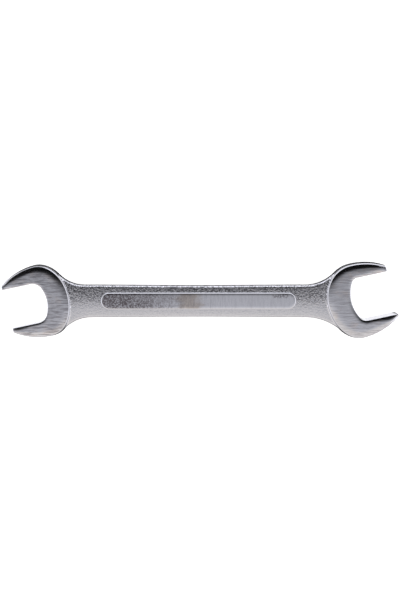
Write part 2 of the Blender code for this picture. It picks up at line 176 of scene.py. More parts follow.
def throat_shape(head, side):
    """Radius and centre of the slot's floor, and radius and centre of the fillet on one side of it."""
    depth, bulge, shift = head["throat"]
    shift = shift if side == "blunt" else -shift
    half = head["jaw"] / 2
    floor = (half ** 2 + bulge ** 2) / (2 * bulge)
    fillet = head[side]["throat_fillet"]
    floor_centre = Vector((floor - depth, shift))
    fillet_v = half - fillet
    fillet_u = floor_centre.x - math.sqrt((floor - fillet) ** 2 - (fillet_v - shift) ** 2)
    turned = Matrix.Rotation(head[side]["lean"], 2)
    return floor, turned @ floor_centre, fillet, turned @ Vector((fillet_u, fillet_v))


def slot_face(head, side):
    """Where a jaw's flat face starts at the throat fillet, and the face's normal into the jaw."""
    lean = head[side]["lean"]
    _, _, fillet, fillet_centre = throat_shape(head, side)
    normal = Vector((-math.sin(lean), math.cos(lean)))
    return fillet_centre + normal * fillet, normal


def tip_shape(head, side):
    """Centres and radii of the arcs that draw one jaw, for a jaw on the side v > 0."""
    jaw = head[side]
    half = head["jaw"] / 2
    tip = jaw["tip"]
    run = jaw["reach"] - jaw["widest"]
    fall = jaw["arm"] - tip
    sweep = (run ** 2 + fall ** 2) / (2 * fall)
    sweep_centre = Vector((jaw["widest"], half + jaw["arm"] - sweep))
    outer = min(jaw["tip_radius"], TIP_LIMIT_SHARE * tip)
    outer_u = jaw["reach"] - outer
    outer_v = sweep_centre.y + math.sqrt((sweep - outer) ** 2 - (outer_u - jaw["widest"]) ** 2)
    face, normal = slot_face(head, side)
    face_v = face.y - (jaw["reach"] - face.x) * normal.x / normal.y
    inner = min(INNER_TIP_RADIUS, TIP_LIMIT_SHARE * (outer_v - face_v))
    inner_u = jaw["reach"] - inner
    inner_v = face.y + (inner - (inner_u - face.x) * normal.x) / normal.y
    return {
        "sweep": sweep,
        "sweep_centre": sweep_centre,
        "outer": outer,
        "outer_centre": Vector((outer_u, outer_v)),
        "inner": inner,
        "inner_centre": Vector((inner_u, inner_v)),
        "sweep_end": math.atan2(outer_v - sweep_centre.y, outer_u - jaw["widest"]),
    }


for head in HEADS:
    print("sweep of a blunt jaw:", round(tip_shape(head, "blunt")["sweep"] / MM, 2), "mm")

# %% Sides of the outline
ARC_STEPS = 30
TIP_STEPS = 11
FILLET_STEPS = 20
THROAT_STEPS = 24


def outer_side(head, side, inset):
    """Outer edge of one jaw and its half of the back, from the tip's outer corner to the back's middle."""
    jaw = head[side]
    depth, shift = head["back"]
    shift = shift if side == "blunt" else -shift
    tip = tip_shape(head, side)
    jaw_edge = arc(tip["sweep_centre"], tip["sweep"] - inset, tip["sweep_end"], math.pi / 2, ARC_STEPS)
    across = head["jaw"] / 2 + jaw["arm"] - shift - inset
    along = depth + jaw["widest"] - inset
    back = back_quarter((jaw["widest"], shift), along, across)
    return jaw_edge + back[1:]


def tip_side(head, side, inset):
    """End of one jaw, from its outer corner round to the slot."""
    tip = tip_shape(head, side)
    outer = arc(tip["outer_centre"], tip["outer"] - inset, tip["sweep_end"], 0, TIP_STEPS)
    face_angle = head[side]["lean"] - math.pi / 2
    inner = arc(tip["inner_centre"], tip["inner"] - inset, 0, face_angle, TIP_STEPS)
    return outer + inner


def slot_side(head, side, inset):
    """Slot's edge on one jaw, from the tip's inner corner along the flat to the middle of the throat."""
    tip = tip_shape(head, side)
    floor, floor_centre, fillet, fillet_centre = throat_shape(head, side)
    face, normal = slot_face(head, side)
    turn = fillet_centre - floor_centre
    fillet_end = math.atan2(turn.y, turn.x)
    start = tip["inner_centre"] - normal * (tip["inner"] - inset)
    end = face + normal * inset
    flat = [start.lerp(end, step / ARC_STEPS) for step in range(ARC_STEPS)]
    lean = head[side]["lean"]
    corner = arc(fillet_centre, fillet + inset, math.pi / 2 + lean, fillet_end, FILLET_STEPS)
    bottom = arc(floor_centre, floor + inset, fillet_end, math.pi + lean, THROAT_STEPS)
    return flat + corner + bottom[1:]


def mirrored(points):
    """Points on the other side of a head's middle line."""
    return [Vector((point.x, -point.y)) for point in points]


def head_sides(head, inset):
    """Outer edge, sharp tip, slot and blunt tip, each a list of points that starts where the last ends."""
    outer = outer_side(head, "blunt", inset) + mirrored(outer_side(head, "sharp", inset))[-2::-1]
    sharp_tip = mirrored(tip_side(head, "sharp", inset))
    slot = mirrored(slot_side(head, "sharp", inset)) + slot_side(head, "blunt", inset)[-2::-1]
    blunt_tip = tip_side(head, "blunt", inset)[::-1]
    return outer, sharp_tip, slot, blunt_tip


for head in HEADS:
    print("outline points:", [len(side) for side in head_sides(head, 0)])

# %% [markdown]
# ## Rings and their place
#
# The outer edge of the real head is rounded by tumbling, and the machined slot is much sharper. So a ring
# takes two insets instead of one, and the outer one turns into the slot's across the end of each tip. The
# rings are drawn round the middle of the wrench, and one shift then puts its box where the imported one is.

# %% Rings


def tip_blend(index, last):
    """Smooth share that goes from 0 at a tip's outer corner to 1 at its slot."""
    share = index / last
    return share ** 2 * (3 - 2 * share)


def blended_sides(head, outer_inset, slot_inset):
    """Sides of the outline, whose inset changes from the outer one to the slot's across the tips' ends."""
    outer, sharp_tip, _, blunt_tip = head_sides(head, outer_inset)
    _, sharp_end, slot, blunt_end = head_sides(head, slot_inset)
    last = len(sharp_tip) - 1
    for index in range(last + 1):
        sharp_tip[index] = sharp_tip[index].lerp(sharp_end[index], tip_blend(index, last))
        blunt_tip[index] = blunt_tip[index].lerp(blunt_end[index], tip_blend(last - index, last))
    return outer, sharp_tip, slot, blunt_tip


def head_ring(head, outer_inset, slot_inset):
    """Outline as one closed ring, which starts at the blunt tip's outer corner."""
    outer, sharp_tip, slot, blunt_tip = blended_sides(head, outer_inset, slot_inset)
    return outer[:-1] + sharp_tip[:-1] + slot[:-1] + blunt_tip[:-1]


def placed(head, point):
    """Point of a head's plane in the plane of the wrench."""
    along = Vector((math.cos(head["turn"]), math.sin(head["turn"])))
    across = Vector((-along.y, along.x))
    return head["centre"] + along * point.x + across * point.y


def frame_shift():
    """Move that puts the middle of the wrench's box over the origin, with its underside at z = 0."""
    spots = []
    for head in HEADS:
        spots += [placed(head, point) for point in head_ring(head, -WALL_DRAFT, 0)]
    middle_x = (min(spot.x for spot in spots) + max(spot.x for spot in spots)) / 2
    middle_y = (min(spot.y for spot in spots) + max(spot.y for spot in spots)) / 2
    return Vector((-middle_x, -middle_y, HEAD_THICKNESS / 2))


SHIFT = frame_shift()
print("shift into the frame:", [round(value / MM, 3) for value in SHIFT], "mm")

# %% [markdown]
# ## Mesh helpers
#
# Every shape of the forging is a list of points and a list of quads. One helper turns them into an object
# with smooth shading, another adds the quads between two rings, and a third gives a rounded edge in steps.

# %% Mesh helpers
ROUND_STEPS = 6


def build_mesh(name, points, faces, finishes, materials):
    """Object from points and faces, with one material number per face."""
    mesh = bpy.data.meshes.new(name)
    mesh.from_pydata([tuple(point) for point in points], [], faces)
    for material in materials:
        mesh.materials.append(material)
    mesh.polygons.foreach_set("material_index", finishes)
    shape = bmesh.new()
    shape.from_mesh(mesh)
    bmesh.ops.recalc_face_normals(shape, faces=shape.faces)
    shape.to_mesh(mesh)
    shape.free()
    mesh.shade_smooth()
    item = bpy.data.objects.new(name, mesh)
    bpy.context.scene.collection.objects.link(item)
    return item


def bridge(faces, ring, other):
    """Add the quads between two closed rings of as many point numbers."""
    for index in range(len(ring)):
        after = (index + 1) % len(ring)
        faces.append((ring[index], ring[after], other[after], other[index]))


def add_points(points, new_points):
    """Add points and return their numbers."""
    first = len(points)
    points.extend(new_points)
    return list(range(first, len(points)))


def round_steps(radius, start=0):
    """Inset and drop of each step of a rounded edge, from a wall that leans by start up to the face."""
    steps = []
    for step in range(ROUND_STEPS + 1):
        angle = start + (math.pi / 2 - start) * step / ROUND_STEPS
        steps.append((radius * (1 - math.cos(angle)), radius * (1 - math.sin(angle))))
    return steps


print("steps of a rounded edge:", ROUND_STEPS)

# %% [markdown]
# ## Shader arithmetic
#
# Chrome has one colour, so its look comes from small changes of tone, gloss and relief. Those are easier to
# read as sums than as a web of nodes. The first class wraps a socket, so that plus, minus, times and the
# rest add their Math nodes. The second adds any other node. What differs from place to place is a ramp, and
# a named ramp below holds low and high and, where they aren't 0 and 1, the values at these two.

# %% Wire


class Wire:
    """A shader socket that takes part in Python arithmetic."""

    def __init__(self, graph, socket):
        self.graph = graph
        self.socket = socket

    def math(self, operation, *values):
        """Result of a Math node."""
        node = self.graph.add("Math", {"operation": operation}, dict(enumerate(values)))
        return Wire(self.graph, node.outputs[0])

    def __add__(self, other):
        return self.math("ADD", self, other)

    __radd__ = __add__

    def __sub__(self, other):
        return self.math("SUBTRACT", self, other)

    def __rsub__(self, other):
        return self.math("SUBTRACT", other, self)

    def __mul__(self, other):
        return self.math("MULTIPLY", self, other)

    __rmul__ = __mul__

    def __truediv__(self, other):
        return self.math("DIVIDE", self, other)

    def absolute(self):
        """The value without its sign."""
        return self.math("ABSOLUTE", self)

    def angle_from(self, other):
        """Angle of the point (other, self) about the origin."""
        return self.math("ARCTAN2", self, other)


print("sockets take part in sums")

# %% Graph


class Graph:
    """Node tree of one material or of the world."""

    def __init__(self, owner):
        owner.use_nodes = True
        self.tree = owner.node_tree
        self.tree.nodes.clear()

    def add(self, kind, settings=None, inputs=None):
        """Node of a kind, with its settings made first and then the values or links of its sockets."""
        node = self.tree.nodes.new("ShaderNode" + kind)
        for name, value in (settings or {}).items():
            if name == "stops":
                self.set_stops(node.color_ramp, value)
            else:
                setattr(node, name, value)
        for name, value in (inputs or {}).items():
            if isinstance(name, int):
                socket = node.inputs[name]
            else:
                socket = next(item for item in node.inputs if item.name == name and item.enabled)
            if isinstance(value, Wire):
                self.tree.links.new(value.socket, socket)
            else:
                socket.default_value = value
        return node

    def set_stops(self, ramp, stops):
        """Stops of a colour ramp, as places and colours."""
        while len(ramp.elements) < len(stops):
            ramp.elements.new(1)
        for element, (place, colour) in zip(ramp.elements, stops):
            element.position = place
            element.color = colour

    def wire(self, node, output=0):
        """One output of a node."""
        return Wire(self, node.outputs[output])

    def place(self):
        """Object coordinates, in metres."""
        return self.wire(self.add("TexCoord"), "Object")

    def split(self, vector):
        """X, Y and Z of a vector."""
        node = self.add("SeparateXYZ", inputs={"Vector": vector})
        return [self.wire(node, axis) for axis in "XYZ"]

    def noise(self, place, size, detail=2, roughness=0.5):
        """Noise between about 0 and 1, whose waves have a size in each direction."""
        per_wave = tuple(1 / length for length in size)
        stretched = self.add("VectorMath", {"operation": "MULTIPLY"}, {0: place, 1: per_wave})
        inputs = {"Vector": self.wire(stretched), "Scale": 1, "Detail": detail, "Roughness": roughness}
        return self.wire(self.add("TexNoise", inputs=inputs))

    def ramp(self, value, low, high, start=0, end=1):
        """Smooth step from start to end as a value goes from low to high."""
        inputs = {"Value": value, "From Min": low, "From Max": high, "To Min": start, "To Max": end}
        return self.wire(self.add("MapRange", {"interpolation_type": "SMOOTHSTEP"}, inputs))

    def blend(self, share, colour, other):
        """Mix of two colours."""
        node = self.add("Mix", {"data_type": "RGBA"}, {"Factor": share, "A": colour, "B": other})
        return self.wire(node, 2)

    def grey(self, level):
        """Grey of a level from 0 to 1."""
        return self.blend(level, (0, 0, 0, 1), (1, 1, 1, 1))

    def level(self, value):
        """Grey of any brightness, also above 1."""
        node = self.add("CombineXYZ", inputs={"X": value, "Y": value, "Z": value})
        return self.wire(node)

    def bump(self, height, distance):
        """Normal that is tilted by a relief of a given depth."""
        return self.wire(self.add("Bump", inputs={"Height": height, "Distance": distance, "Strength": 1}))


print("nodes are added by name")

# %% [markdown]
# ## Satin chrome
#
# The whole wrench is plated alike, but the steel under the plate was worked in several ways, and thin chrome
# repeats what lies under it. One material with masks could hold them all, but a material for each finish is
# easier to follow, and each shape knows which finish its faces have.

# %% Plate
PLATE = (0.63, 0.63, 0.69, 1)


def plated(name, paint):
    """Metal material whose colour, roughness and normal come from a function."""
    material = bpy.data.materials.new(name)
    graph = Graph(material)
    shader = graph.add("BsdfPrincipled", inputs={"Metallic": 1, **paint(graph)})
    graph.add("OutputMaterial", inputs={"Surface": graph.wire(shader)})
    print("finish:", name)
    return material


print("plate colour:", PLATE[:3])

# %% [markdown]
# ### Ground head faces
#
# The head faces were ground flat on a belt, which leaves streaks and fine scratches along the wrench. A
# picture of scratches would repeat, so noise is stretched along X instead, once for the tone and once for the
# relief. The streaks are stronger on the small head, as in the photograph.

# %% Ground head faces
STREAK_SIZE = (9.5 * MM, 0.79 * MM, 9.5 * MM)
STREAK_LEVELS = (0.44, 0.60)
STREAK_PLATE = (0.335, 0.325, 0.36, 1)
STREAKED = (-53 * MM, 53 * MM, 0.95, 0.5)
SCRATCH_SIZE = (5.3 * MM, 0.53 * MM, 5.3 * MM)
SCRATCH_DEPTH = 0.021 * MM
SCRATCH_ROUGHNESS = 0.09
GROUND_ROUGHNESS = 0.08
CLOUD_SIZE = (6.3 * MM, 4.2 * MM, 6.3 * MM)
WARM_CLOUDS = (0.52, 0.72, 0, 0.6)
WARM_PLATE = (0.66, 0.60, 0.60, 1)


def paint_ground(graph):
    """Ground face: streaks and fine scratches along the wrench over a faint cloudiness."""
    place = graph.place()
    along, _, _ = graph.split(place)
    streaks = graph.noise(place, STREAK_SIZE, detail=3, roughness=0.65)
    scratches = graph.noise(place, SCRATCH_SIZE, detail=3, roughness=0.6)
    clouds = graph.noise(place, CLOUD_SIZE)
    tone = graph.blend(graph.ramp(clouds, *WARM_CLOUDS), PLATE, WARM_PLATE)
    streaked = graph.ramp(streaks, *STREAK_LEVELS) * graph.ramp(along, *STREAKED)
    tone = graph.blend(streaked, tone, STREAK_PLATE)
    return {
        "Base Color": tone,
        "Roughness": GROUND_ROUGHNESS + SCRATCH_ROUGHNESS * scratches,
        "Normal": graph.bump(scratches, SCRATCH_DEPTH),
    }


ground_finish = plated("ground_chrome", paint_ground)

# %% [markdown]
# ### Forged web
#
# The web keeps the pebbled skin of the forging, softened by tumbling. Noise of one size in all directions
# gives the grain through a bump, which is enough for pits of a few hundredths of a millimetre, and a second
# noise paints their shade into the colour as dark specks. Both are stronger on the side of +Y, where the
# photograph shows most of them.

# %% Forged web
GRAIN_SIZE = (0.9 * MM, 0.9 * MM, 0.9 * MM)
GRAIN_DEPTH = 0.23 * MM
GRAINY = (-7 * MM, 3 * MM, 0.4, 1)
SPECK_LEVELS = (0.50, 0.58)
# Painted shade: colour of the dark specks in the web's grain.
SPECK_SHADE_PLATE = (0.13, 0.13, 0.15, 1)
SHADED_SIDE = (-5.3 * MM, 4.2 * MM, 0.08, 0.62)
FORGED_ROUGHNESS = 0.19


def paint_forged(graph):
    """Forging skin under the plate: a pebbled grain, with painted shade as dark specks, more towards +Y."""
    place = graph.place()
    _, across, _ = graph.split(place)
    grain = graph.noise(place, GRAIN_SIZE, detail=2, roughness=0.6)
    specks = graph.noise(place, GRAIN_SIZE, detail=1, roughness=0.6)
    # Painted shade: dark specks in the grain, stronger towards +Y.
    shaded_specks = graph.ramp(specks, *SPECK_LEVELS) * graph.ramp(across, *SHADED_SIDE)
    return {
        "Base Color": graph.blend(shaded_specks, PLATE, SPECK_SHADE_PLATE),
        "Roughness": FORGED_ROUGHNESS,
        "Normal": graph.bump(grain * graph.ramp(across, *GRAINY), GRAIN_DEPTH),
    }


forged_finish = plated("forged_chrome", paint_forged)

# %% [markdown]
# ### Walls and rounded edges
#
# The outer walls and all rounded edges of the heads were tumbled smoother than the web, so they mirror the
# room more sharply. Their material has the same grain, made very shallow. On the edge of the small head's
# sharp jaw, a soft box of painted shade dims the edge's reflection.

# %% Walls and rounded edges
EDGE_GRAIN_DEPTH = 0.01 * MM
EDGE_ROUGHNESS = 0.12
PATCH_MIDDLE = -103.5 * MM
PATCH_REACH = (11 * MM, 5 * MM)
PATCH_BAND = (12 * MM, 15 * MM)
# Painted shade: colour of the darker patch on the small head's edge.
EDGE_SHADE = (0.3, 0.3, 0.33, 1)


def paint_edge(graph):
    """Tumbled edge: smoother than the web, with a faint grain and a patch of painted shade on the small head.
    """
    place = graph.place()
    along, across, _ = graph.split(place)
    grain = graph.noise(place, GRAIN_SIZE, detail=2, roughness=0.5)
    # Painted shade: a soft box that darkens the edge's reflection on the small head's sharp jaw.
    shade_patch = graph.ramp((along - PATCH_MIDDLE).absolute(), *PATCH_REACH)
    shade_patch = shade_patch * graph.ramp(across, *PATCH_BAND)
    return {
        "Base Color": graph.blend(shade_patch, PLATE, EDGE_SHADE),
        "Roughness": EDGE_ROUGHNESS,
        "Normal": graph.bump(grain, EDGE_GRAIN_DEPTH),
    }


edge_finish = plated("edge_chrome", paint_edge)

# %% [markdown]
# ### Machined slot walls
#
# The jaws were cut to size, so their walls are bright and carry the cutter's fine lines, which run along the
# slot. Noise that is long in X and Y and very short in Z draws such lines on any upright wall.

# %% Machined slot walls
CUTTER_SIZE = (4 * MM, 4 * MM, 0.25 * MM)
CUTTER_DEPTH = 0.006 * MM
CUTTER_ROUGHNESS = 0.06
CUT_ROUGHNESS = 0.10


def paint_cut(graph):
    """Slot wall: bright, with the cutter's fine lines running along it."""
    lines = graph.noise(graph.place(), CUTTER_SIZE, detail=2, roughness=0.5)
    return {
        "Base Color": PLATE,
        "Roughness": CUT_ROUGHNESS + CUTTER_ROUGHNESS * lines,
        "Normal": graph.bump(lines, CUTTER_DEPTH),
    }


cut_finish = plated("cut_chrome", paint_cut)

# %% [markdown]
# ### Brushed grip panel
#
# The grip panel was brushed across and has seen hands: its plate is brownish in the middle and stained near
# the large head, and painted shade darkens it towards the small head. Stains and shade could be painted on by
# hand, but noise that wanders about their places looks as natural and stays readable. Brushing is noise
# stretched along Y.

# %% Brushed grip panel
BRUSH_SIZE = (0.74 * MM, 7.4 * MM, 5.3 * MM)
BRUSH_DEPTH = 0.021 * MM
BRUSH_LEVELS = (0.42, 0.68)
BRUSH_ROUGHNESS = 0.09
BRUSHED = (-25 * MM, 25 * MM, 0.5, 0.15)
PANEL_ROUGHNESS = 0.09
PANEL_PLATE = (0.71, 0.71, 0.78, 1)
PANEL_CLOUD_SIZE = (9.5 * MM, 5.3 * MM, 9.5 * MM)
MEAN_NOISE = 0.5
# Painted shade: how far the panel darkens towards the small head; its colour also draws the stain.
SHADE_REACH = (-61 * MM, 12 * MM, 1, 0)
SHADE_WANDER = 53 * MM
SHADE_SPECKS = (0.40, 0.60, 1.2, 0.35)
SHADE_AND_STAIN_PLATE = (0.175, 0.155, 0.17, 1)
BROWN_MIDDLE = -7 * MM
BROWN_REACH = (10 * MM, 2 * MM, 0, 0.65)
BROWN_WANDER = 21 * MM
BROWN_PLATE = (0.52, 0.44, 0.38, 1)
STAIN_MIDDLE = 49.2 * MM
STAIN_REACH = (5.8 * MM, 3.7 * MM)
STAIN_BAND = (1.3 * MM, 2.5 * MM)
STAIN_SPECKS = (0.42, 0.55)
STAIN_SHARE = 0.7


def paint_brushed(graph):
    """Brushed panel: scratches across the wrench, brown and stained plate, painted shade by the small head.
    """
    place = graph.place()
    along, across, _ = graph.split(place)
    brushing = graph.noise(place, BRUSH_SIZE, detail=3, roughness=0.65)
    clouds = graph.noise(place, PANEL_CLOUD_SIZE, detail=3, roughness=0.6)
    specks = graph.noise(place, GRAIN_SIZE, detail=2, roughness=0.6)
    brushed = graph.ramp(brushing, *BRUSH_LEVELS) * graph.ramp(along, *BRUSHED)
    wander = clouds - MEAN_NOISE
    brown = graph.ramp((along - BROWN_MIDDLE).absolute() + BROWN_WANDER * wander, *BROWN_REACH)
    # Painted shade: the plate darkens towards the small head, in wandering specks.
    painted_shade = graph.ramp(along + SHADE_WANDER * wander, *SHADE_REACH) * graph.ramp(specks, *SHADE_SPECKS)
    stain = graph.ramp((along - STAIN_MIDDLE).absolute(), *STAIN_REACH) * graph.ramp(across, *STAIN_BAND)
    stain = stain * graph.ramp(specks, *STAIN_SPECKS) * STAIN_SHARE
    tone = graph.blend(brown, PANEL_PLATE, BROWN_PLATE)
    tone = graph.blend(brushed, tone, STREAK_PLATE)
    tone = graph.blend(painted_shade, tone, SHADE_AND_STAIN_PLATE)
    tone = graph.blend(stain, tone, SHADE_AND_STAIN_PLATE)
    return {
        "Base Color": tone,
        "Roughness": PANEL_ROUGHNESS + BRUSH_ROUGHNESS * brushing,
        "Normal": graph.bump(brushing, BRUSH_DEPTH),
    }


panel_finish = plated("brushed_chrome", paint_brushed)

# %% [markdown]
# ## Heads
#
# A head is a plate whose faces roll down towards the outer edge and, far less, towards the slot. At the tips
# the first roll gets narrower and the second wider. A bevel could only round the edges evenly, so the face is
# a grid with a height for each point. Its rows run from the outer edge to the slot, so a highlight along an
# edge never crosses the quads at a slant.

# %% Face of a head
EDGE_ROUND = 0.85 * MM
SLOT_EDGE_ROUND = 0.35 * MM
EDGE_CROWDING = 0.75
TIP_PULL = 4
TIP_ROLL_SHARE = 0.13
TIP_BACK_ROLL = 0.5
TIP_SLOT_ROLL = 2.2
SLOT_ROLL_POWER = 2


def column_shares():
    """Places of the face's columns between the outer edge and the slot, crowded at both."""
    columns = 2 * TIP_STEPS + 1
    shares = []
    for column in range(columns + 1):
        share = column / columns
        shares.append(share - EDGE_CROWDING * math.sin(2 * math.pi * share) / (2 * math.pi))
    return shares


def face_row(outer, slot, blunt_tip, sharp_tip, number):
    """One row of points from the outer edge to the slot, bulged with the tips' round ends near them."""
    share = number / (len(outer) - 1)
    row = []
    for column, column_share in enumerate(column_shares()):
        point = outer[number].lerp(slot[number], column_share)
        blunt_bulge = blunt_tip[column] - outer[0].lerp(slot[0], column_share)
        sharp_bulge = sharp_tip[column] - outer[-1].lerp(slot[-1], column_share)
        row.append(point + blunt_bulge * (1 - share) ** TIP_PULL + sharp_bulge * share ** TIP_PULL)
    return row


def row_heights(head, row, share):
    """Heights of a row that stands at a share of the way from the blunt tip to the sharp one."""
    back_drop, back_width, back_power = head["back_roll"]
    slot_drop, slot_width = [blunt * (1 - share) + sharp * share for blunt, sharp in
                             zip(head["blunt"]["slot_roll"], head["sharp"]["slot_roll"])]
    near_tip = max(0, 1 - min(share, 1 - share) / TIP_ROLL_SHARE)
    back_scale = 1 + (TIP_BACK_ROLL - 1) * near_tip
    slot_scale = 1 + (TIP_SLOT_ROLL - 1) * near_tip
    heights = []
    for point in row:
        outer_depth = max(0, 1 - (point - row[0]).length / (back_width * back_scale))
        slot_depth = max(0, 1 - (point - row[-1]).length / (slot_width * slot_scale))
        back_fall = back_drop * back_scale * outer_depth ** back_power
        slot_fall = slot_drop * slot_scale * slot_depth ** SLOT_ROLL_POWER
        heights.append(HEAD_THICKNESS / 2 - (back_fall + slot_fall))
    return heights


def face_grid(head):
    """Points and heights of a head's face, in rows from the blunt tip round to the sharp tip."""
    outer, sharp_tip, slot, blunt_tip = blended_sides(head, EDGE_ROUND, SLOT_EDGE_ROUND)
    slot = slot[::-1]
    blunt_tip = blunt_tip[::-1]
    last_row = len(outer) - 1
    rows = [face_row(outer, slot, blunt_tip, sharp_tip, number) for number in range(last_row + 1)]
    heights = [row_heights(head, row, number / last_row) for number, row in enumerate(rows)]
    return rows, heights


print("columns of a face:", len(column_shares()))

# %% [markdown]
# ### Edges and walls of a head
#
# The outer wall leans in a little from the parting line in the middle of its height, as a forging must to
# leave its dies, while the slot is machined and its walls stand straight. Rings of points follow the border
# of the face, first down its rounded edge and then along the wall, so the plate closes without a seam.

# %% Edges and walls of a head
GROUND, EDGE, CUT, FORGED, PANEL = range(5)
FINISHES = (ground_finish, edge_finish, cut_finish, forged_finish, panel_finish)
WALL_STEPS = 6
WALL_ROUNDNESS = 0.9


def border(rows, columns):
    """Row and column of each point round a grid's edge, in the order of head_ring."""
    down = [(row, 0) for row in range(rows)]
    across = [(rows, column) for column in range(columns)]
    up = [(row, columns) for row in range(rows, 0, -1)]
    back = [(0, column) for column in range(columns, 0, -1)]
    return down + across + up + back


def ring_finishes(rows, columns):
    """Finish of each quad round a head: cut in the slot and edge chrome elsewhere."""
    slot_start = rows + columns
    slot_end = slot_start + rows
    return [CUT if slot_start <= index < slot_end else EDGE for index in range(2 * slot_start)]


def lifted(head, outline, heights):
    """Points of a head's plane in space, each at a height of its own."""
    return [(*placed(head, point), height) for point, height in zip(outline, heights)]


def add_face(points, faces, head, rows, heights, side):
    """Add a head's face on one side, and return the numbers of its points in rows."""
    numbers = []
    for row, row_height in zip(rows, heights):
        numbers.append(add_points(points, lifted(head, row, [side * height for height in row_height])))
    for upper, lower in zip(numbers, numbers[1:]):
        for column in range(len(upper) - 1):
            faces.append((upper[column], upper[column + 1], lower[column + 1], lower[column]))
    return numbers


def add_rounding(points, faces, head, heights, side, numbers, steps):
    """Add the rounded edge from a face's border down to the wall, and return the numbers of its last ring."""
    last_column = len(heights[0]) - 1
    edge = border(len(heights) - 1, last_column)
    inner = [numbers[row][column] for row, column in edge]
    for (inset, drop), (slot_inset, slot_drop) in steps[-2::-1]:
        ring_heights = []
        for row, column in edge:
            fall = drop + (slot_drop - drop) * tip_blend(column, last_column)
            ring_heights.append(side * (heights[row][column] - fall))
        outer = add_points(points, lifted(head, head_ring(head, inset, slot_inset), ring_heights))
        bridge(faces, inner, outer)
        inner = outer
    return inner


def add_wall(points, faces, head, bottom, top, edge_inset):
    """Add the wall between two rings, which stands out to the parting line in the middle of its height."""
    below = bottom
    for step in range(1, WALL_STEPS):
        share = step / WALL_STEPS
        stand = (1 - abs(2 * share - 1)) ** WALL_ROUNDNESS
        outline = head_ring(head, edge_inset * (1 - stand) - WALL_DRAFT * stand, 0)
        ring_heights = [points[low][2] * (1 - share) + points[high][2] * share
                        for low, high in zip(bottom, top)]
        middle = add_points(points, lifted(head, outline, ring_heights))
        bridge(faces, below, middle)
        below = middle
    bridge(faces, below, top)


def head_mesh(name, head):
    """Head as a closed plate: two rolled faces, their rounded edges and the walls between them."""
    rows, heights = face_grid(head)
    draft_angle = math.atan(WALL_DRAFT / (HEAD_THICKNESS / 2 - head["back_roll"][0] - EDGE_ROUND))
    outer_steps = round_steps(EDGE_ROUND, draft_angle)
    steps = list(zip(outer_steps, round_steps(SLOT_EDGE_ROUND)))
    wall_inset, _ = outer_steps[0]
    around = ring_finishes(len(rows) - 1, len(rows[0]) - 1)
    points = []
    faces = []
    finishes = []
    ends = []
    for side in (-1, 1):
        numbers = add_face(points, faces, head, rows, heights, side)
        finishes += [GROUND] * (len(faces) - len(finishes))
        ends.append(add_rounding(points, faces, head, heights, side, numbers, steps))
        finishes += around * ROUND_STEPS
    add_wall(points, faces, head, ends[0], ends[1], wall_inset)
    finishes += around * WALL_STEPS
    return build_mesh(name, points, faces, finishes, FINISHES)


plates = [head_mesh("small_head", SMALL_HEAD), head_mesh("large_head", LARGE_HEAD)]
print("head faces:", [len(item.data.polygons) for item in plates])

# %% [markdown]
# ## Web and necks
#
# The web is a crowned bar between the heads. Its edges leave the heads in large neck fillets and draw in a
# little at the waist. It is lofted through many sections, because its two edges and its section are all the
# shape it has.

# %% Edges of the web
SHANK_WIDTH = 20.1 * MM
WAIST_WIDTH = 19.4 * MM
NECK_BITE = 0.15 * MM
RUN_IN_SHARE = 0.12
NECK_STEPS = 44
WAIST_STEPS = 150
BISECTIONS = 40


def nearest(points, spot):
    """Point nearest to spot on the line through points."""
    best = points[0]
    for start, end in zip(points, points[1:]):
        step = end - start
        share = max(0, min(1, (spot - start).dot(step) / step.dot(step)))
        point = start + step * share
        if (point - spot).length < (best - spot).length:
            best = point
    return best


def neck(head, side, up):
    """Neck on one side, from inside the head, along the fillet, to where the shank's edge begins."""
    radius = head[side]["neck"]
    outline = outer_side(head, side, -WALL_DRAFT)
    if side == "sharp":
        outline = mirrored(outline)
    outline = [placed(head, point) for point in outline]
    near, far = head["centre"].x, 0
    for _ in range(BISECTIONS):
        middle = Vector(((near + far) / 2, up * (SHANK_WIDTH / 2 + radius)))
        if (nearest(outline, middle) - middle).length < radius - NECK_BITE:
            near = middle.x
        else:
            far = middle.x
    touch = nearest(outline, middle) - middle
    start = math.atan2(touch.y, touch.x)
    end = -up * math.pi / 2
    if abs(end - start) > math.pi:
        start -= math.copysign(2 * math.pi, start)
    fillet = arc(middle, radius, start, end, NECK_STEPS)
    return [fillet[0].lerp(head["centre"], RUN_IN_SHARE)] + fillet


def web_edge(up):
    """One edge of the web in plan, from inside the small head to inside the large one."""
    small = neck(SMALL_HEAD, "blunt" if up < 0 else "sharp", up)
    large = neck(LARGE_HEAD, "sharp" if up < 0 else "blunt", up)
    start, end = small[-1], large[-1]
    waist = []
    for step in range(1, WAIST_STEPS):
        share = step / WAIST_STEPS
        narrowing = (SHANK_WIDTH - WAIST_WIDTH) / 2 * math.sin(math.pi * share) ** 2
        waist.append(start.lerp(end, share) - Vector((0, up * narrowing)))
    return small + waist + large[::-1]


print("sections of the web:", len(web_edge(1)))

# %% Section of the web
WEB_THICKNESS = 6.1 * MM
WEB_CROWN = 0.5 * MM
WEB_EDGE_ROUND = 1.4 * MM
ROUND_LIMIT_SHARE = 0.9
CROWN_STEPS = 48


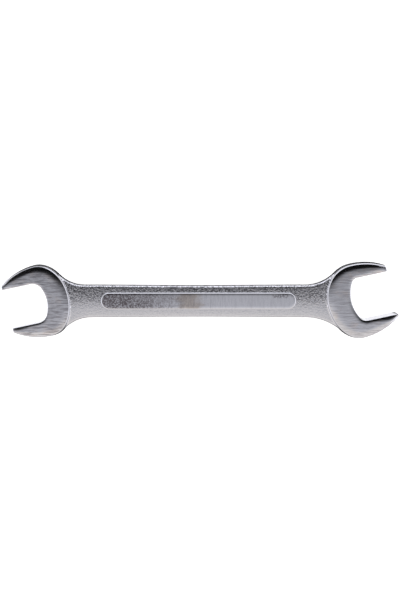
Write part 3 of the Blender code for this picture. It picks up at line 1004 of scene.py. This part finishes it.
def web_section(upper, lower):
    """Closed section of the web between two points of its edges, crowned, with rounded corners."""
    width = (lower - upper).length
    edge_height = WEB_THICKNESS / 2 - WEB_CROWN
    radius = min(WEB_EDGE_ROUND, ROUND_LIMIT_SHARE * edge_height)
    flat_share = 1 - 2 * radius / width
    corner_height = WEB_THICKNESS / 2 - WEB_CROWN * flat_share ** 2
    top = [(inset, corner_height - drop) for inset, drop in round_steps(radius)]
    for step in range(1, CROWN_STEPS):
        share = 2 * step / CROWN_STEPS - 1
        reach = radius + (width - 2 * radius) * step / CROWN_STEPS
        top.append((reach, WEB_THICKNESS / 2 - WEB_CROWN * (flat_share * share) ** 2))
    top += [(width - inset, corner_height - drop) for inset, drop in round_steps(radius)[::-1]]
    ring = []
    for side, line in ((1, top), (-1, top[::-1])):
        for reach, height in line:
            spot = upper.lerp(lower, reach / width)
            ring.append((spot.x, spot.y, side * height))
    return ring


print("points of a section:", len(web_section(web_edge(1)[0], web_edge(-1)[0])))

# %% [markdown]
# ### Root fillets
#
# Where the web meets the back of a head, the metal rises in a small root fillet, as it does in a die. A
# bevel after the union would have to find that seam, so the points of the web are raised before it, by
# their distance from the head's outline.

# %% Web
ROOT_FILLET_RISE = 0.37 * MM
ROOT_FILLET_WIDTH = 0.84 * MM
ROOT_FILLET_SPAN = 40 * MM
STILL_HEIGHT = WEB_THICKNESS / 6


def distance_to(outline, spots):
    """Distance from each spot to a closed outline, negative inside it."""
    start = np.array([tuple(point) for point in outline])
    step = np.roll(start, -1, axis=0) - start
    from_start = spots[:, None, :] - start[None]
    share = np.clip((from_start * step).sum(2) / (step ** 2).sum(1), 0, 1)
    gap = np.linalg.norm(from_start - share[..., None] * step, axis=2).min(1)
    end = start + step
    x, y = spots[:, :1], spots[:, 1:]
    crosses = (start[:, 1] > y) != (end[:, 1] > y)
    slope = step[:, 0] / np.where(step[:, 1] == 0, 1, step[:, 1])
    inside = (crosses & (x < start[:, 0] + slope * (y - start[:, 1]))).sum(1) % 2 == 1
    return np.where(inside, -gap, gap)


def root_rise(spots):
    """How far each spot rises in the root fillets: all the way at a head's outline and inside it."""
    rise = np.zeros(len(spots))
    for head in HEADS:
        outline = [placed(head, point) for point in head_ring(head, 0, 0)]
        near = np.abs(spots[:, 0]) > abs(head["centre"].x) - ROOT_FILLET_SPAN
        near &= np.sign(spots[:, 0]) == np.sign(head["centre"].x)
        gap = distance_to(outline, spots[near, :2])
        rise[near] += ROOT_FILLET_RISE * np.clip(1 - gap / ROOT_FILLET_WIDTH, 0, 1) ** 2
    return rise


def web_mesh(name):
    """Web and necks, lofted through sections and raised by the root fillets at the heads."""
    points = []
    faces = []
    rings = []
    for upper, lower in zip(web_edge(1), web_edge(-1)):
        rings.append(add_points(points, web_section(upper, lower)))
    for ring, other in zip(rings, rings[1:]):
        bridge(faces, ring, other)
    faces.append(rings[0])
    faces.append(rings[-1])
    spots = np.array(points)
    height = np.abs(spots[:, 2])
    height = height + root_rise(spots) * (height > STILL_HEIGHT)
    spots[:, 2] = np.sign(spots[:, 2]) * height
    return build_mesh(name, spots.tolist(), faces, [FORGED] * len(faces), FINISHES)


web = web_mesh("web")
print("web faces:", len(web.data.polygons))

# %% [markdown]
# ## Grip panel
#
# The panel is a long pad with round ends that stands half a millimetre proud of the web on both faces. The
# radius of its edge is nearly twice that height, and inside it the top rolls down very slightly, which gives
# the long highlight along one edge. The pads of both faces are one plate through the web, so the union that
# follows has no thin shapes to deal with.

# %% Panel
PANEL_LENGTH = 121.0 * MM
PANEL_WIDTH = 10.9 * MM
PANEL_SHIFT = (0.2 * MM, 0.2 * MM)
PANEL_STAND = 0.5 * MM
PANEL_EDGE_ROUND = 0.95 * MM
PANEL_ROLL_DROP = 0.05 * MM
PANEL_ROLL_WIDTH = 1.5 * MM
PANEL_LAST_INSET = 4.9 * MM
PANEL_END_STEPS = 40
PANEL_RINGS = 12


def panel_ring(inset, height):
    """Outline of the grip panel, a slot with round ends, moved inward by inset."""
    half_width = PANEL_WIDTH / 2
    end = PANEL_LENGTH / 2 - half_width
    x, y = PANEL_SHIFT
    radius = half_width - inset
    right = arc((x + end, y), radius, -math.pi / 2, math.pi / 2, PANEL_END_STEPS)
    left = arc((x - end, y), radius, math.pi / 2, 3 * math.pi / 2, PANEL_END_STEPS)
    return [(point.x, point.y, height) for point in right + left]


def panel_profile():
    """Inset and height of each ring of the panel's top, from its foot to its middle."""
    level = WEB_THICKNESS / 2 + PANEL_STAND
    profile = [(inset, level - PANEL_ROLL_DROP - drop) for inset, drop in round_steps(PANEL_EDGE_ROUND)]
    for step in range(1, PANEL_RINGS + 1):
        share = step / PANEL_RINGS
        inset = PANEL_EDGE_ROUND + PANEL_ROLL_WIDTH * share
        profile.append((inset, level - PANEL_ROLL_DROP * (1 - share) ** 2))
    profile.append((PANEL_LAST_INSET, level))
    return profile


def panel_mesh(name):
    """Raised panels of both faces, as one plate through the web."""
    profile = panel_profile()
    points = []
    faces = []
    finishes = []
    rings = [add_points(points, panel_ring(inset, -height)) for inset, height in profile[::-1]]
    rings += [add_points(points, panel_ring(inset, height)) for inset, height in profile]
    for number, (ring, other) in enumerate(zip(rings, rings[1:])):
        bridge(faces, ring, other)
        on_top = number <= PANEL_RINGS or number >= len(rings) - 2 - PANEL_RINGS
        finishes += [PANEL if on_top else EDGE] * (len(faces) - len(finishes))
    faces.append(rings[0])
    faces.append(rings[-1])
    finishes += [PANEL, PANEL]
    return build_mesh(name, points, faces, finishes, FINISHES)


panel = panel_mesh("grip_panel")
print("panel faces:", len(panel.data.polygons))

# %% [markdown]
# ## One forging
#
# The real wrench is one piece of steel, so the shapes are united into one closed mesh. Letting them overlap
# would look much the same but leave walls inside the steel. A Boolean modifier with the exact solver unites
# them and keeps each shape's finish.

# %% Unite
CREASE_ANGLE = math.radians(35)


def unite(body, others):
    """Unite the others with the body and remove them."""
    for other in others:
        union = body.modifiers.new(other.name, "BOOLEAN")
        union.operation = "UNION"
        union.solver = "EXACT"
        union.material_mode = "TRANSFER"
        union.object = other
    bpy.context.view_layer.update()
    evaluated = body.evaluated_get(bpy.context.evaluated_depsgraph_get())
    mesh = bpy.data.meshes.new_from_object(evaluated)
    body.modifiers.clear()
    body.data = mesh
    for other in others:
        bpy.data.objects.remove(other)
    return body


wrench = unite(web, plates + [panel])
wrench.name = "wrench"
wrench.data.transform(Matrix.Translation(SHIFT))
wrench.data.shade_smooth()
wrench.data.set_sharp_from_angle(angle=CREASE_ANGLE)
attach(wrench, "root")
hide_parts("wrench_forging")
print("wrench faces:", len(wrench.data.polygons))

# %% [markdown]
# ## Floor
#
# The wrench lies on a white sweep that is lit until it is pure white in the picture. The floor glows for the
# camera and for reflections, and adds its own shading, so the wrench's soft shadow stays on it. What the
# metal mirrors of it is darker close to the wrench and on the side of -Y, and a bright card under each slot
# lights the slot's walls. Lamps could do the same, but a floor that knows the kind of ray needs no trial.

# %% Floor
FLOOR_SIZE = 4.0
FLOOR_GAP = 0.02 * MM
FLOOR_GLOW = 0.7
MIRRORED_GLOW = 0.6
PAPER_WHITE = 0.85
CONTACT_REACH = 9.5 * MM
CONTACT_SAMPLES = 8
OPEN_LEVELS = (0.80, 1.0)
LIT_BAND = (-21 * MM, 16 * MM, 0.35, 1)
CARD_GLOW = 1.2
CARD_RADIUS = 18 * MM
CARD_FADE = 2 * MM
CARD_OUT = 11 * MM


def slot_cards(graph, place):
    """Share of the bright cards at each place: 1 under a slot and 0 away from it."""
    card = 0
    for head in HEADS:
        centre = placed(head, Vector((CARD_OUT, 0))) + SHIFT.to_2d()
        spot = (centre.x, centre.y, -FLOOR_GAP)
        gap = graph.add("VectorMath", {"operation": "DISTANCE"}, {0: place, 1: spot})
        card = card + graph.ramp(graph.wire(gap, "Value"), CARD_RADIUS, CARD_RADIUS - CARD_FADE)
    return card


def floor_material():
    """White sweep that glows, and whose reflection has a deeper shadow and a card under each slot."""
    material = bpy.data.materials.new("white_sweep")
    graph = Graph(material)
    rays = graph.add("LightPath")
    camera_ray, glossy_ray, glass_ray = [graph.wire(rays, "Is " + kind + " Ray")
                                         for kind in ("Camera", "Glossy", "Transmission")]
    mirrored_ray = glossy_ray.math("MAXIMUM", glossy_ray, glass_ray)
    place = graph.place()
    _, across, _ = graph.split(place)
    occlusion = graph.add("AmbientOcclusion", {"samples": CONTACT_SAMPLES}, {"Distance": CONTACT_REACH})
    open_floor = graph.ramp(graph.wire(occlusion, "AO"), *OPEN_LEVELS)
    lit_floor = open_floor * graph.ramp(across, *LIT_BAND)
    mirrored_glow = lit_floor * MIRRORED_GLOW + slot_cards(graph, place) * CARD_GLOW
    strength = camera_ray * FLOOR_GLOW + mirrored_ray * mirrored_glow
    tone = PAPER_WHITE * (1 - mirrored_ray * (1 - lit_floor))
    paper = graph.add("BsdfDiffuse", inputs={"Color": graph.grey(tone)})
    glow = graph.add("Emission", inputs={"Color": (1, 1, 1, 1), "Strength": strength})
    both = graph.add("AddShader", inputs={0: graph.wire(paper), 1: graph.wire(glow)})
    graph.add("OutputMaterial", inputs={"Surface": graph.wire(both)})
    return material


half = FLOOR_SIZE / 2
floor_mesh = bpy.data.meshes.new("floor")
corners = [(half * x, half * y, -FLOOR_GAP) for x, y in ((-1, -1), (1, -1), (1, 1), (-1, 1))]
floor_mesh.from_pydata(corners, [], [(0, 1, 2, 3)])
floor_mesh.materials.append(floor_material())
floor = bpy.data.objects.new("floor", floor_mesh)
bpy.context.scene.collection.objects.link(floor)
print("floor:", FLOOR_SIZE, "m square")

# %% [markdown]
# ## Studio
#
# Polished metal shows the room, so the room is what models the shape. Overhead it fades to a black band on
# the side the camera stands on, a bright panel stands beyond that band, and the opposite side is a warm light
# grey. High bright panels stand at both ends, and near the horizon the room stays light grey, so low views
# keep the form. Area lamps could make the panels, but a room drawn as a function of direction is easier to
# fit to the highlights of a photograph.

# %% Studio
ROOM_STOPS = [
    (-180, 0.70), (-75, 0.95), (-36, 1.0), (-22, 0.95), (-17.5, 0.88), (-13.5, 0.74), (-8, 0.53), (-3, 0.36),
    (1, 0.18), (4, 0.04), (6, 0.004), (31, 0.004), (38, 0.4), (44, 2.0), (64, 2.0), (73, 0.9), (120, 0.8),
    (180, 0.7),
]
WARM_BELOW = -15
WARM_GREY = (1.0, 0.965, 0.90)
COOL_GREY = (0.97, 0.98, 1.0)
END_REACH = (0.50, 0.74)
END_HEIGHTS = (0.40, 0.58, 0.8, 2.0)


def room_stops():
    """Stops of the room's ramp, from angles off straight overhead towards +Y, in degrees."""
    stops = []
    for angle, level in ROOM_STOPS:
        tint = WARM_GREY if angle < WARM_BELOW else COOL_GREY
        stops.append((angle / 360 + 0.5, tuple(level * part for part in tint) + (1,)))
    return stops


def studio():
    """World that lights the scene as the photographer's room did, and is white behind the floor."""
    world = bpy.data.worlds.new("studio")
    bpy.context.scene.world = world
    graph = Graph(world)
    direction = graph.wire(graph.add("TexCoord"), "Generated")
    x, y, z = graph.split(direction)
    tilt = y.angle_from(z) / (2 * math.pi) + 0.5
    room = graph.wire(graph.add("ValToRGB", {"stops": room_stops()}, {0: tilt}))
    end_level = graph.level(graph.ramp(z, *END_HEIGHTS))
    room = graph.blend(graph.ramp(x.absolute(), *END_REACH), room, end_level)
    seen = graph.wire(graph.add("LightPath"), "Is Camera Ray")
    colour = graph.blend(seen, room, (1, 1, 1, 1))
    background = graph.add("Background", inputs={"Color": colour, "Strength": 1})
    graph.add("OutputWorld", inputs={"Surface": graph.wire(background)})


studio()
bpy.context.scene.view_settings.view_transform = "Standard"
print("room stops:", len(ROOM_STOPS))
